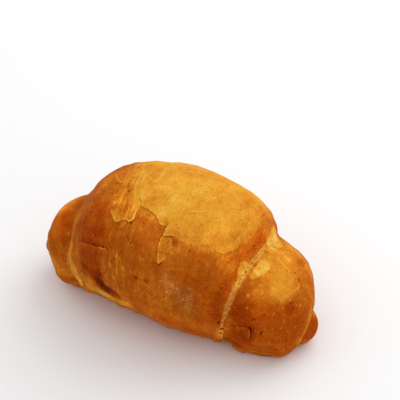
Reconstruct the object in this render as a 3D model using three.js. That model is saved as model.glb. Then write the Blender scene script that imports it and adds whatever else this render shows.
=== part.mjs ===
// A crescent bread roll: a triangle of dough rolled up from its wide side, so that the outer wrap covers
// the fat middle and the layers under it show at both ends, each closed by a small round tip.
// Millimetres. X runs along the roll, Y to its back and Z up; the roll lies on its flat baked base.
import * as THREE from "three";

// The spine, a curve through the middle of the dough: [along, back, up] from the left tip to the right.
const SPINE = [
  [-82, 3.8, 8.2],
  [-68, 0.9, 11.4],
  [-54, 1.3, 16.4],
  [-34, 0.9, 27.5],
  [0, 0.1, 36.4],
  [30, -1.3, 29.2],
  [48, -2.9, 20.4],
  [65, -3.8, 10.7],
  [76, 1.3, 3.6],
];
const MIDDLE = 4; // the point of the list that places along the spine are measured from

// A section across the spine.
const FATTEST = { place: 2.5, halfWidth: 40 };
const RISE = 0.94; // height above the spine, per mm of half width
const SAG = 0.93; // and depth below the spine
const SLUMP = 0.13; // extra share of depth right underneath, which widens the flat base
const BASE_ROUND = 1; // how softly the flat base turns up into the sides

// The two ends, with places given along the spine. `seam` is where the outer wrap ends. `lean` sets it
// askew, that much to the right at the top of the back and to the left at the foot of the front. The
// last three shape the wrap towards the seam and the layer past it.
const LEFT = {
  side: -1,
  seam: -42.4,
  lean: 5,
  sway: -3,
  seamRadius: 23.5,
  shoulder: 24.1,
  tip: -65,
  tipRadius: 8.7,
  fullness: 2.37,
  steepness: 1.13,
  roundness: 0.7,
};
const RIGHT = {
  side: 1,
  seam: 42.8,
  lean: -4.7,
  sway: 2.1,
  seamRadius: 28.8,
  shoulder: 29.6,
  tip: 73.7,
  tipRadius: 10.8,
  fullness: 2.46,
  steepness: 1.91,
  roundness: 0.85,
};
const NECK = 0.1; // radians of the tip's round that the end layer covers

// The crease where a wrap meets the layer below.
const CREASE = { depth: 1.4, width: 2.6 };

// A fold pressed into the outer wrap, low at the front, from the left seam down to the right. Each end is
// a place along the spine and a length around the roll from the back over the top.
const FOLD = { from: [-38, 106], to: [-7, 138], depth: 1.4, width: 5 };

// The dough's own unevenness: height in mm, waves around the roll and radians per mm along it.
const SWELLS = [
  { height: 0.3, around: 3, along: 0.06, phase: 1 },
  { height: 0.25, around: 5, along: -0.11, phase: 5.8 },
  { height: 0.2, around: 2, along: 0.19, phase: 1 },
];

// Rows of faces along each band of the surface, and faces around it.
const ROWS = { leftTip: 6, leftEnd: 14, wrap: 42, rightEnd: 18, rightTip: 7 };
const AROUND = 66;

const { cos, sin, abs, exp, PI } = Math;
const mix = THREE.MathUtils.lerp;
const ramp = THREE.MathUtils.smoothstep;

const spine = new THREE.CatmullRomCurve3(SPINE.map((p) => new THREE.Vector3(...p)));
spine.arcLengthDivisions = 200 * (SPINE.length - 1);
const lengths = spine.getLengths();
const SPINE_LENGTH = lengths.at(-1);
const TO_MIDDLE = lengths[200 * MIDDLE];

// Where the outer wrap's edge lies at an angle around the roll.
function seamAt(end, angle) {
  const askew = end.lean * cos(angle - PI / 4) + end.sway * cos(2 * angle - PI / 2);
  const wavy = 0.3 * sin(5 * angle) + 0.25 * sin(8 * angle + end.side);
  return end.seam + askew + wavy;
}

// The fold's depth at a point of the outer wrap: steep on its upper side, easy on the lower.
const foldStart = new THREE.Vector2(...FOLD.from);
const foldRun = new THREE.Vector2(...FOLD.to).sub(foldStart);
const foldLength = foldRun.length();
foldRun.normalize();
function fold(place, angle) {
  const out = new THREE.Vector2(place, angle * FATTEST.halfWidth * 0.95).sub(foldStart);
  const along = out.dot(foldRun);
  const off = out.cross(foldRun) / FOLD.width;
  const within = ramp(along, -2, 8) * (1 - ramp(along, foldLength - 12, foldLength + 4));
  const slope = off > 0 ? 1.3 : 0.5;
  return FOLD.depth * within * exp(-slope * off * off);
}

// The outer wrap between its two seams: place along the spine and half width.
function wrapBand(t, angle) {
  const from = seamAt(LEFT, angle);
  const to = seamAt(RIGHT, angle);
  const place = mix(from, to, (1 - cos(PI * t)) / 2);
  const end = place < FATTEST.place ? LEFT : RIGHT;
  const seam = end === LEFT ? from : to;
  const off = Math.min((place - FATTEST.place) / (seam - FATTEST.place), 1);
  const dome = (1 - off ** end.fullness) ** (1 / end.steepness);
  const radius = end.seamRadius + (FATTEST.halfWidth - end.seamRadius) * dome;
  return { place, radius: radius - fold(place, angle) * dome };
}

// The layer that shows past the outer wrap, from its seam (t = 0) to the neck of the tip (t = 1).
function endBand(end, t, angle) {
  const from = seamAt(end, angle);
  const neck = end.tipRadius * cos(NECK);
  const to = end.tip + end.side * end.tipRadius * sin(NECK);
  const turn = (t * PI) / 2;
  const place = mix(from, to, sin(turn));
  const depth = end.shoulder - end.seamRadius + CREASE.depth;
  const crease = depth * exp(-abs(place - from) / CREASE.width) * cos(turn);
  const radius = neck + (end.shoulder - neck) * abs(cos(turn)) ** end.roundness - crease;
  return { place, radius };
}

// The small round tip, from its neck (t = 0) to its end (t = 1).
function tipBand(end, t) {
  const turn = mix(NECK, PI / 2, t);
  const place = end.tip + end.side * end.tipRadius * sin(turn);
  return { place, radius: t === 1 ? 0 : end.tipRadius * cos(turn) };
}

// Which band a row of vertices belongs to, counted from the left tip.
function bandAt(row, angle) {
  let r = row;
  if (r <= ROWS.leftTip) return tipBand(LEFT, 1 - r / ROWS.leftTip);
  r -= ROWS.leftTip;
  if (r <= ROWS.leftEnd) return endBand(LEFT, 1 - r / ROWS.leftEnd, angle);
  r -= ROWS.leftEnd;
  if (r <= ROWS.wrap) return wrapBand(r / ROWS.wrap, angle);
  r -= ROWS.wrap;
  if (r <= ROWS.rightEnd) return endBand(RIGHT, r / ROWS.rightEnd, angle);
  r -= ROWS.rightEnd;
  return tipBand(RIGHT, r / ROWS.rightTip);
}

// Flattens what would reach below the table, with a rounded edge.
function settle(z) {
  if (z > BASE_ROUND) return z;
  return z < -BASE_ROUND ? 0 : (z + BASE_ROUND) ** 2 / (4 * BASE_ROUND);
}

function swell(place, angle) {
  return SWELLS.reduce((h, s) => h + s.height * sin(s.around * angle + s.along * place + s.phase), 0);
}

// A point of the crust. The angle runs from the back (0) over the top (90 degrees) to the front.
function crust(row, angle) {
  const { place, radius } = bandAt(row, angle);
  const share = (TO_MIDDLE + place) / SPINE_LENGTH;
  const point = spine.getPointAt(share);
  const along = spine.getTangentAt(share);
  const back = new THREE.Vector3(0, 0, 1).cross(along).normalize();
  const up = along.clone().cross(back);
  const high = sin(angle) > 0 ? RISE : SAG * (1 + SLUMP * sin(angle) ** 8);
  const uneven = 1 + swell(place, angle) / FATTEST.halfWidth;
  point
    .addScaledVector(back, radius * uneven * cos(angle))
    .addScaledVector(up, radius * uneven * high * sin(angle));
  point.z = settle(point.z);
  return point;
}

function rollGeometry() {
  const rows = Object.values(ROWS).reduce((sum, n) => sum + n, 0);
  const geometry = new THREE.SphereGeometry(1, AROUND, rows);
  const { position, uv } = geometry.attributes;
  for (let i = 0; i < position.count; i++) {
    const row = Math.round(uv.getY(i) * rows);
    const angle = -PI / 2 + 2 * PI * uv.getX(i);
    const point = crust(row, angle);
    position.setXYZ(i, point.x, point.y, point.z);
  }
  geometry.computeBoundingBox();
  const { min, max } = geometry.boundingBox;
  geometry.translate(-(min.x + max.x) / 2, -(min.y + max.y) / 2, -min.z);
  geometry.computeVertexNormals();
  return geometry;
}

const crustMaterial = new THREE.MeshStandardMaterial({
  color: 0xc8741f,
  roughness: 0.55,
  metalness: 0,
});

const roll = new THREE.Mesh(rollGeometry(), crustMaterial);
roll.name = "roll";

const group = new THREE.Group();
group.add(roll);

export default group;
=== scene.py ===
# %% [markdown]
# # A continental roll
# This lesson gives one baked bread roll its crust. The roll's true shape and size are packed already, as
# one solid. Loading it first means that nothing here has to be fitted: every piece is made in metres, in
# the place where the solid lies.

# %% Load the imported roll
import math

import bpy
import numpy as np
from mathutils import Matrix, Vector, noise


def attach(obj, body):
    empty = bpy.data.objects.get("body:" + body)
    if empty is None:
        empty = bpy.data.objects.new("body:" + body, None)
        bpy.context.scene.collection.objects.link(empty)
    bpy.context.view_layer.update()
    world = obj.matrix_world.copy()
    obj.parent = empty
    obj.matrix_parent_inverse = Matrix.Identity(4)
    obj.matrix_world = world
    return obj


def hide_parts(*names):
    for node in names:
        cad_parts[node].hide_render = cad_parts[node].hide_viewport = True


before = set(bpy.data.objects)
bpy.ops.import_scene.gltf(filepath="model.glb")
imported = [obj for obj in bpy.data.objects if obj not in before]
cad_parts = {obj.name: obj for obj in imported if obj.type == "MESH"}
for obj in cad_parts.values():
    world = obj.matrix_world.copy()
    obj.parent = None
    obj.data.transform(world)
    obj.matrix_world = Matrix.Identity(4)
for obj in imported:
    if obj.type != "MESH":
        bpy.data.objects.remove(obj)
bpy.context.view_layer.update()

MM = 0.001
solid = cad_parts["roll"]
print("the solid has", len(solid.data.polygons), "faces")

# %% [markdown]
# ## The camera
# The camera comes first, because marks on the crust are placed by where they show in the picture. It looks
# down on the roll from a little to the right of its front. A long lens from 65 cm keeps the two ends nearly
# the same size. The lens isn't shifted: the camera stands off to the side by as much as the roll lies off
# the picture's middle.

# %% The camera
PICTURE = 400  # pixels, each side of the picture
FOCUS = 1300.0  # pixels: a thing as wide as its distance would be this wide in the picture
SENSOR = 36.0  # mm
AZIMUTH = math.radians(23.4)
ELEVATION = math.radians(36.19)
DISTANCE = 651.0 * MM
ORIGIN_SHOWS_AT = (179.7, 299.1)  # pixels from the picture's top left corner

to_right = Vector((math.cos(AZIMUTH), math.sin(AZIMUTH), 0))
to_eye = Vector((
    math.sin(AZIMUTH) * math.cos(ELEVATION),
    -math.cos(AZIMUTH) * math.cos(ELEVATION),
    math.sin(ELEVATION),
))
to_top = to_eye.cross(to_right)


def away(axis, pixel):
    """How far the picture's middle lies from a pixel, in metres at the roll's distance."""
    return axis * (PICTURE / 2 - pixel) / FOCUS * DISTANCE


eye = away(to_right, ORIGIN_SHOWS_AT[0]) - away(to_top, ORIGIN_SHOWS_AT[1]) + to_eye * DISTANCE
bpy.ops.object.camera_add(location=eye)
camera = bpy.context.object
camera.name = "picture_camera"
camera.data.sensor_width = SENSOR
camera.data.lens = FOCUS / PICTURE * SENSOR
camera.rotation_euler = Matrix((to_right, to_top, to_eye)).transposed().to_euler()
bpy.context.scene.camera = camera
print("lens", round(camera.data.lens, 1), "mm")

# %% [markdown]
# ## The crust's mesh
# A crust shows cracks thinner than a millimetre, and the solid's faces are up to four millimetres wide. So
# the crust is a copy of the solid with finer faces. Subdivision alone would make long thin faces where the
# solid has them. A voxel remesh after it gives small square faces of one size everywhere, which hold a
# crack in any direction. It melts details smaller than its voxel, so all the fine relief comes later.

# %% A finer copy of the solid
VOXEL = 0.9 * MM


def pick(thing):
    """Only this object is selected, and it is the one that operators work on."""
    bpy.ops.object.select_all(action="DESELECT")
    thing.select_set(True)
    bpy.context.view_layer.objects.active = thing


def finish_with(thing, kind, **settings):
    """Adds one modifier and applies it."""
    pick(thing)
    modifier = thing.modifiers.new(kind.title(), kind)
    for name, value in settings.items():
        setattr(modifier, name, value)
    bpy.ops.object.modifier_apply(modifier=modifier.name)


crust = bpy.data.objects.new("roll_crust", solid.data.copy())
bpy.context.scene.collection.objects.link(crust)
crust.data.materials.clear()
pick(crust)
bpy.ops.object.mode_set(mode="EDIT")
bpy.ops.mesh.select_all(action="SELECT")
bpy.ops.mesh.remove_doubles(threshold=0.01 * MM)
bpy.ops.mesh.tris_convert_to_quads()
bpy.ops.object.mode_set(mode="OBJECT")
finish_with(crust, "SUBSURF", levels=2, render_levels=2)
finish_with(crust, "REMESH", mode="VOXEL", voxel_size=VOXEL, use_smooth_shade=True)
finish_with(crust, "SMOOTH", factor=0.5, iterations=4)
bpy.context.view_layer.update()
print("the crust has", len(crust.data.polygons), "faces")

# %% [markdown]
# ## Reading the mesh
# Painting a mask by hand means brushing a value onto every vertex. Here the values are worked out instead,
# for all vertices together, so they are kept as long lists of numbers in NumPy. Lengths in these lists are
# in millimetres, which are easier to think in than metres.


# %% The crust in numbers
REACH = 20.0  # mm from a mark, past which distances aren't worked out
ACROSS = 60.0  # mm, enough to reach right across the roll


class Skin:
    """The crust's vertices, in mm, and what can be measured from one to the next."""

    def __init__(self, mesh):
        self.count = len(mesh.vertices)
        self.place = self.read(mesh.vertices, "co", 3) / MM
        self.outward = self.read(mesh.vertices, "normal", 3)
        pairs = self.read(mesh.edges, "vertices", 2, np.int32)
        self.starts = pairs.ravel()
        self.ends = pairs[:, ::-1].ravel()
        self.neighbours = np.bincount(self.ends, minlength=self.count)

    @staticmethod
    def read(items, name, width, kind=np.float32):
        flat = np.empty(len(items) * width, kind)
        items.foreach_get(name, flat)
        return flat.reshape(-1, width)

    def averaged(self, values, times):
        """Each vertex takes the mean of its neighbours, that many times over."""
        columns = values.reshape(self.count, -1)
        for _ in range(times):
            sums = [np.bincount(self.ends, c[self.starts], self.count) for c in columns.T]
            columns = np.stack(sums, 1) / self.neighbours[:, None]
        return columns.reshape(values.shape)

    def hollow(self):
        """How deep each vertex lies below the average of what is a few mm round it."""
        return ((self.averaged(self.place, 20) - self.place) * self.outward).sum(1)

    def cloud(self, size, seed):
        """Smooth random values between about -1 and 1, in lumps of that many millimetres."""
        shift = Vector((seed * 17.3, seed * 5.1, seed * 9.7))  # each seed reads it somewhere else
        return np.array([noise.noise(Vector(p) / size + shift) for p in self.place.tolist()])

    def beside(self, points, reach=REACH):
        """Distance from a line, in mm, more than 0 to the right of its run, and the share along it."""
        points = np.array(points)
        runs = np.diff(points, axis=0)
        lengths = np.linalg.norm(runs, axis=1)
        heading = runs / lengths[:, None]
        heading = np.concatenate([heading[:1], heading[:-1] + heading[1:], heading[-1:]])
        nearest = np.full(self.count, reach)
        side = np.ones(self.count)
        share = np.zeros(self.count)
        for k, (run, length) in enumerate(zip(runs, lengths)):
            from_start = self.place - points[k]
            t = np.clip(from_start @ run / length**2, 0, 1)
            off = from_start - t[:, None] * run
            far = np.linalg.norm(off, axis=1)
            near = np.flatnonzero(far < nearest)
            ahead = heading[k] + t[near, None] * (heading[k + 1] - heading[k])
            rightward = np.cross(ahead, self.outward[near])
            nearest[near] = far[near]
            side[near] = np.where((off[near] * rightward).sum(1) < 0, -1, 1)
            share[near] = (lengths[:k].sum() + t[near] * length) / lengths.sum()
        return nearest * side, share

    def around(self, points):
        """Distance from a line or from one point, in mm."""
        if len(points) == 1:
            return np.linalg.norm(self.place - points[0], axis=1)
        return abs(self.beside(points, ACROSS)[0])


def ramp(values, low, high):
    """Goes smoothly from 0 at low to 1 at high."""
    t = np.clip((values - low) / (high - low), 0, 1)
    return t * t * (3 - 2 * t)


skin = Skin(crust.data)
print(skin.count, "vertices")

# %% [markdown]
# ## Lifting the crust
# Relief is kept as one number for each vertex. It is written into vertex groups, as if it had been weight
# painted, and a Displace modifier moves the vertices along their normals by them. Weights can't be less
# than 0, so what sinks has a group of its own and a modifier that pushes inwards.


# %% Move the vertices
def raise_crust(relief):
    """Moves each vertex outwards by that many mm, but never below the tray."""
    above_tray = skin.place[:, 2]
    room_below = np.maximum(above_tray, 0) / np.maximum(-skin.outward[:, 2], 0.01)
    relief = np.minimum(relief * ramp(above_tray, 0.2, 1.5), room_below)  # the base stays flat
    for name, heights, sign in (("sunk", -relief, -1), ("raised", relief, 1)):
        most = heights.max()
        group = crust.vertex_groups.new(name=name)
        for index in np.flatnonzero(heights > 0).tolist():
            group.add([index], heights[index] / most, "REPLACE")
        push = {"direction": "NORMAL", "strength": sign * most * MM, "mid_level": 0}
        finish_with(crust, "DISPLACE", vertex_group=name, **push)
        print(name, "by up to", round(float(most), 2), "mm")
    crust.vertex_groups.clear()


# %% [markdown]
# ## Swells and hollows of the dough
# Dough is never quite even. Where the picture's outline swells or sinks a little against the solid's, the
# crust does too. Near an outline the crust turns away from the camera, so a swell there reaches far round
# the dough. It takes in every vertex that shows near a line of pixels and isn't far behind the outline.


# %% Where the vertices show
def shows_at():
    """The pixel at which each vertex shows, and how much it faces the camera."""
    from_eye = skin.place * MM - np.array(eye)
    depth = from_eye @ -np.array(to_eye) / FOCUS
    right = PICTURE / 2 + from_eye @ np.array(to_right) / depth
    down = PICTURE / 2 - from_eye @ np.array(to_top) / depth
    return np.stack([right, down], 1), skin.outward @ np.array(to_eye)


def far_in_picture(line):
    """Pixels from a line of the picture."""
    nearest = np.full(skin.count, np.inf)
    for start, end in zip(np.array(line[:-1], float), np.array(line[1:], float)):
        run = end - start
        t = np.clip((pixels - start) @ run / (run @ run), 0, 1)
        nearest = np.minimum(nearest, np.linalg.norm(pixels - start - t[:, None] * run, axis=1))
    return nearest


# %% Swells
# the swell's line, pixels from it where it is full and where it ends, height in mm
SWELLS = {
    "left_side": ([(46, 242), (47, 236)], 3, 10, 0.55),
    "left_corner": ([(57, 276), (63, 281)], 2, 10, 0.5),
    "left_low": ([(51, 262), (54, 268)], 2, 9, -0.5),
    "left_fill": ([(80, 288), (90, 292)], 3, 9, 0.8),
    "hem": ([(99, 296), (104, 297.5), (110, 300)], 5, 14, -1.3),
    "hem_end": ([(112, 302), (117, 304.5)], 2, 7, 0.3),
    "hem_past": ([(123, 307), (130, 309)], 2, 7, -0.35),
    "before_middle": ([(142, 316), (146, 318)], 2, 8, -0.3),
    "middle": ([(154, 321), (164, 326)], 4, 12, 0.8),
    "foot": ([(182, 332), (194, 336), (206, 339)], 5, 14, -0.68),
    "seam_foot": ([(217, 341), (222, 341)], 2, 7, 1.3),
    "notch": ([(226, 341), (228, 343)], 2, 6, -1.0),
    "notch_right": ([(230, 344), (233, 347)], 1, 4, 0.3),
    "right_corner": ([(240, 352), (243, 353)], 2, 8, 0.5),
    "right_low": ([(254, 355), (266, 356)], 5, 12, -1.1),
    "right_end": ([(279, 357), (286, 355)], 3, 9, 0.4),
    "nub_low": ([(300, 346), (304, 345)], 2, 7, 0.3),
    "right_side": ([(315, 292), (315, 299)], 3, 12, 0.42),
    "right_shoulder": ([(301, 253), (307, 259)], 3, 10, 0.5),
    "seam_end": ([(276, 221), (278, 227)], 3, 9, -0.35),
    "crown_end": ([(256, 196), (262, 200), (268, 208)], 4, 14, 0.5),
    "crown_right": ([(203, 168), (230, 180)], 5, 14, -0.3),
    "crown_notch": ([(192, 165), (195, 165)], 2, 8, 0.15),
    "crown_top": ([(170, 162), (184, 163)], 5, 14, -0.52),
    "crown_left": ([(150, 162), (166, 162)], 6, 16, -0.6),
    "crown_start": ([(137, 163), (140, 162.5)], 2, 8, 0.25),
    "shoulder": ([(102, 179), (111, 172), (120, 167)], 4, 14, 0.53),
}
pixels, facing = shows_at()
not_behind = ramp(facing, -0.6, -0.15)  # a vertex a little past the outline still moves
swelling = np.zeros(skin.count)
for line, full, end, height in SWELLS.values():
    swelling += height * (1 - ramp(far_in_picture(line), full, end)) * not_behind
raise_crust(swelling)
bpy.context.view_layer.update()
print(len(SWELLS), "swells and hollows")

# %% [markdown]
# ## Marks placed by the picture
# Each crack and patch of the roll is noted as a few pixels of the picture. A ray from the camera through
# such a pixel meets the crust in one point, so the mark sits on the crust and is right from any side. The
# back isn't in the picture. Its marks are noted as if the roll had been turned half round.


# %% From a pixel to the crust
def seen_at(pixel, behind=False):
    """The point of the crust, in mm, that the camera sees at a pixel."""
    ray = to_right * (pixel[0] - PICTURE / 2) - to_top * (pixel[1] - PICTURE / 2) - to_eye * FOCUS
    turned = Vector((-1, -1, 1)) if behind else Vector((1, 1, 1))
    hit, point, _, _ = crust.ray_cast(eye * turned, (ray * turned).normalized())
    if not hit:
        raise ValueError(f"the camera sees no crust at {pixel}")
    return np.array(point) / MM


# %% [markdown]
# ## Where the cracks run
# The skin dries before the dough has finished rising, and breaks into thin plates whose edges lift. Each
# crack is noted so that the lifted skin is on the right of the line's run.

# %% Cracks
# the crack's pixels, lift of the skin in mm, how far back it is lifted in mm, darkness of the line
CRACKS = {
    "crown": ([(165.5, 226.5), (161.5, 225.3), (158.3, 222.4), (157, 219), (156, 215.4), (151.3, 212.5),
               (148.7, 209.7), (142.3, 207.4), (141.4, 202), (140.4, 196)], 0.35, 10, 0.4),
    "scallops": ([(140, 208), (137, 214), (134.6, 219), (129.3, 222), (125.7, 219.4), (121, 221),
                  (115.5, 222.5), (112.5, 217), (110.5, 210)], 0.3, 6, 0.25),
    "tongue": ([(169, 256), (165, 260), (161.5, 262.5), (158.3, 264), (155.4, 262), (157, 255),
                (157.5, 247), (159, 240.6), (163, 234), (166, 228), (170, 221)], 0.3, 4, 0.35),
    "tongue_top": ([(174, 236.8), (171, 235.8), (167, 235.6), (163, 235.1)], 0.2, 4, 0.4),
    "left": ([(77.5, 240), (84, 242.2), (90, 244), (96, 245.6), (102, 246.8), (106.5, 247.5),
              (107.3, 251), (107.8, 255)], 0.2, 5, 0.22),
    "shoulder_plate": ([(126, 183.5), (121, 183), (117.5, 181), (116, 177)], 0.12, 4, 0.08),
    "scoop": ([(240, 236), (240.5, 241), (238, 247), (233, 251.5), (223, 254), (217, 252.6),
               (213.5, 249)], 0.3, 7, 0.1),
    "low_right": ([(236.5, 325.5), (240, 326.4), (244, 327.3), (247.5, 328)], 0.25, 5, 0.15),
    "low_notch": ([(248, 328), (250, 329.5), (250.6, 333), (250.2, 339)], 0.3, 4, 0.4),
    "hairline": ([(208.5, 212.7), (199, 213), (187, 212.7)], 0.1, 2, 0.22),
}
# and behind, as if the roll were turned
CRACKS_BEHIND = {
    "back_crown": ([(218, 218), (213, 224), (206, 222), (203, 232), (194, 233), (190, 241), (182, 241),
                    (173, 247)], 0.35, 9, 0.35),
    "back_fork": ([(190, 241), (195, 248), (193, 256), (197, 262)], 0.25, 5, 0.3),
    "back_plate": ([(140, 256), (133, 252), (128, 246), (121, 247), (113, 242), (111, 235)], 0.3, 6, 0.25),
    "back_low": ([(232, 262), (224, 265), (216, 263), (212, 268)], 0.25, 5, 0.3),
    "back_end": ([(284, 296), (278, 291), (276, 284)], 0.2, 4, 0.3),
}
crack_lines = {
    name: ([seen_at(p, name in CRACKS_BEHIND) for p in pixels], *rest)
    for name, (pixels, *rest) in {**CRACKS, **CRACKS_BEHIND}.items()
}
print(len(crack_lines), "cracks")

# %% [markdown]
# ## Spots
# Bubbles under the skin leave small pale blisters, and burst ones leave dark pits. Scorched dots are flat.
# The flat dark spot under the right scallop's edge is a painted shadow.

# %% Spots
# the spot's pixel, radius in mm, height in mm, how much darker it is
SPOTS = [
    ((156, 180.5), 1.7, 0.05, -0.1), ((137, 184), 1.5, 0.05, -0.12), ((162, 187), 1.2, 0.05, -0.07),
    ((143.5, 176), 1.5, 0.05, -0.11), ((248, 295.5), 1.3, 0.3, -0.22), ((246.7, 308), 0.8, 0.2, -0.15),
    ((233.8, 307), 0.8, 0.2, -0.15), ((229, 318.5), 2.4, 0.3, -0.04),
    ((233.5, 324.5), 2.0, 0.25, -0.04), ((171, 252.7), 0.9, 0.15, -0.15),
    ((127.4, 303.5), 1.4, 0.1, -0.15), ((260, 286), 1.0, 0.1, -0.08), ((256.5, 290.5), 0.9, 0.1, -0.08),
    ((267, 284), 1.0, 0.1, -0.07), ((274, 290), 0.9, 0.1, -0.07), ((252, 283), 0.9, 0.1, -0.08),
    ((261, 294), 0.9, 0.1, -0.08), ((242, 300.5), 0.8, 0.1, -0.08), ((218.3, 323), 0.8, -0.5, 0.4),
    ((221.5, 329), 1.5, -0.3, 0.5), ((220.5, 332.8), 1.2, -0.3, 0.5), ((249.5, 327.7), 0.7, -0.4, 0.35),
    ((250.3, 330), 0.7, -0.5, 0.35), ((250.6, 332), 0.5, -0.4, 0.3), ((260.7, 334), 0.6, -0.4, 0.3),
    ((261.8, 332.3), 0.6, -0.4, 0.3), ((254.3, 246), 0.6, -0.2, 0.3), ((254.5, 249), 0.5, 0, 0.2),
    ((254, 319.8), 0.8, 0, 0.2), ((264.5, 315), 0.8, 0, 0.15), ((117.5, 182.5), 0.7, 0, 0.2),
    ((129.5, 191), 1.1, 0, 0.16), ((112.5, 193.5), 0.7, 0, 0.2), ((295.5, 273), 0.7, 0, 0.2),
    ((299, 280), 1.2, 0, 0.1), ((291, 303), 1.2, 0, 0.15), ((240, 210), 0.5, -0.1, 0.35),
    ((90, 212), 0.8, -0.2, 0.3), ((101.5, 288), 0.8, -0.2, 0.3), ((166.6, 195), 0.4, 0, 0.3),
    ((155.4, 198), 0.4, 0, 0.3), ((164.5, 204), 0.4, 0, 0.3), ((145.8, 224), 0.5, 0, 0.25),
    ((149.3, 255.6), 0.4, 0, 0.3), ((189.5, 251.4), 0.7, 0, 0.2), ((269.5, 272), 0.5, 0, 0.3),
    ((305.6, 272), 0.7, 0, 0.25), ((136, 278), 1.5, 0, 0.2), ((146, 281), 1.9, 0, 0.18),
    # the dark spot at (131, 222.8) is a painted shadow under the scallop plate's edge
    ((131, 222.8), 1.1, 0, 0.2), ((163.5, 296.5), 0.6, 0, 0.3), ((140.5, 301.5), 0.5, 0, 0.3),
]
spot_places = [(seen_at(pixel), *rest) for pixel, *rest in SPOTS]
print(len(spot_places), "spots")

# %% [markdown]
# ## Fine pale lines
# Stretched skin splits into fine lines that bake pale, and wrinkles keep a pale ridge. Short ones are
# flecks where the skin flaked off. The line round the nub's rim is a painted highlight.

# %% Fine lines
# the line's pixels, its half width in mm, how much paler it is
PALE_LINES = {
    "shoulder_long": ([(129, 179), (126, 185), (124, 192), (121.5, 199), (119, 206)], 0.7, 0.13),
    "shoulder_branch": ([(144, 169), (140, 178), (136.5, 184), (134.5, 192), (135, 199)], 0.7, 0.13),
    "shoulder_short": ([(147, 173), (143.5, 178), (141, 183)], 0.5, 0.1),
    "finger_1": ([(131.5, 197), (129, 205), (128, 212), (126.5, 219)], 0.5, 0.12),
    "finger_2": ([(134.5, 203), (132, 211), (129.5, 218)], 0.45, 0.1),
    "finger_3": ([(138, 208), (135, 214), (132.5, 219)], 0.5, 0.12),
    "finger_4": ([(124.5, 204), (122.5, 211), (122, 217)], 0.45, 0.08),
    "finger_5": ([(118, 209), (117.5, 214), (118, 218)], 0.45, 0.08),
    "scallop_left": ([(110, 209), (112.5, 213), (113.5, 218), (115.5, 221), (119, 220.5)], 0.55, 0.16),
    "scallop_right": ([(126.5, 218), (128.5, 221.5), (132, 220), (135, 217), (138.5, 211.5)], 0.5, 0.14),
    "tan_plate": ([(145, 197), (150, 193), (154, 190), (158, 188), (165, 187)], 0.45, 0.1),
    "crown_branch": ([(166, 167), (163, 174), (160, 179), (156, 181)], 0.8, 0.1),
    "crown_branch_low": ([(148, 176), (152, 179), (156, 181), (161.5, 187)], 0.6, 0.09),
    "crown_brush_1": ([(183, 186), (175, 197), (168, 207)], 0.6, 0.05),
    "crown_brush_2": ([(197, 190), (188, 203), (180, 214)], 0.7, 0.05),
    "crown_brush_3": ([(172, 205), (163, 217)], 0.6, 0.07),
    "small_plate": ([(116.5, 174), (117, 179), (120, 182), (125.5, 183)], 0.5, 0.09),
    "wrinkle_long": ([(277, 257.5), (280, 261), (283.5, 265), (287, 268), (290.5, 272.5)], 0.5, 0.22),
    "wrinkle_top": ([(264.5, 247.5), (268, 250.5), (273, 253)], 0.5, 0.2),
    "wrinkle_middle": ([(270, 247), (275, 250), (279, 253)], 0.5, 0.14),
    "wrinkle_right": ([(284, 256), (287, 258.5), (291, 261)], 0.5, 0.16),
    "curl": ([(293, 291), (296.5, 290), (299, 286), (298, 283)], 0.5, 0.14),
    # rim_of_nub is a painted highlight along the round end's rim
    "rim_of_nub": ([(311.5, 308), (309.5, 318), (305, 330), (300.5, 339), (296.5, 346)], 0.9, 0.12),
    "left_long": ([(107.5, 255), (112, 270), (117, 284), (120, 292)], 0.5, 0.1),
    "left_second": ([(117, 250), (121, 262), (124, 277), (125, 288)], 0.45, 0.08),
    "left_third": ([(110, 234), (112, 246), (116, 258)], 0.45, 0.08),
    "left_fourth": ([(129, 262), (131, 276)], 0.45, 0.07),
    "middle_fold": ([(170, 300), (171.5, 312), (170, 320)], 0.5, 0.06),
    "tongue_ridge": ([(169.5, 239), (171.2, 241.5), (169.8, 244), (171.6, 247), (170.4, 250)], 0.5, 0.13),
    "under_blister": ([(222, 328), (227, 329), (233, 327)], 0.6, 0.12),
}
FLECK_HALF_WIDTH = 0.4  # mm
FLECK_PALER = 0.2
FLECKS = [
    ((272.5, 315.5), (274.5, 312.8)), ((283.3, 322), (284.3, 320.3)), ((279.5, 329.5), (282.5, 326.7)),
    ((294, 328), (296, 325)), ((290, 320), (291.3, 317.5)), ((287, 333), (288, 331)),
    ((296, 306), (297, 304.5)), ((300, 306), (300.8, 304.5)), ((289.3, 301), (290.3, 300)),
    ((298, 299), (298.5, 298)), ((304.8, 299), (305.3, 297)), ((283, 350), (284.5, 347.8)),
    ((287.5, 346.5), (288.5, 345.5)), ((272, 330.5), (272.5, 328.5)), ((294, 316), (294.8, 314)),
    ((246.2, 308.5), (247.5, 307.5)), ((252, 312), (253, 310.5)), ((282, 307), (284, 309)),
    ((299.5, 286.5), (300, 285.5)), ((265, 249.5), (267, 250)), ((258.5, 253), (260.5, 251)),
    ((252.5, 262), (254.5, 259.5)), ((249.5, 266.5), (251, 265.5)), ((266.5, 245), (268.5, 243)),
    ((269.5, 241.5), (271, 240)), ((213.5, 198.5), (214.5, 198.2)), ((195, 184.5), (196, 183.8)),
    ((172, 204), (173.5, 202)), ((99.5, 247), (103, 249)), ((107, 250), (108, 253.5)),
    ((189, 290), (190.5, 288)), ((113, 276), (114, 280)), ((116, 258), (117, 252)),
    ((123, 266), (123.5, 270)), ((109.5, 262), (110, 268)), ((75.5, 221.5), (77, 214)),
    ((68, 236), (69, 232)), ((60.5, 243), (61, 247)), ((92, 205), (92.5, 200)),
    ((92.5, 237), (93.5, 234)),
]
pale_places = [([seen_at(p) for p in pixels], *rest) for pixels, *rest in PALE_LINES.values()]
pale_places += [([seen_at(p) for p in pixels], FLECK_HALF_WIDTH, FLECK_PALER) for pixels in FLECKS]
print(len(pale_places), "pale lines and flecks")

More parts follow.
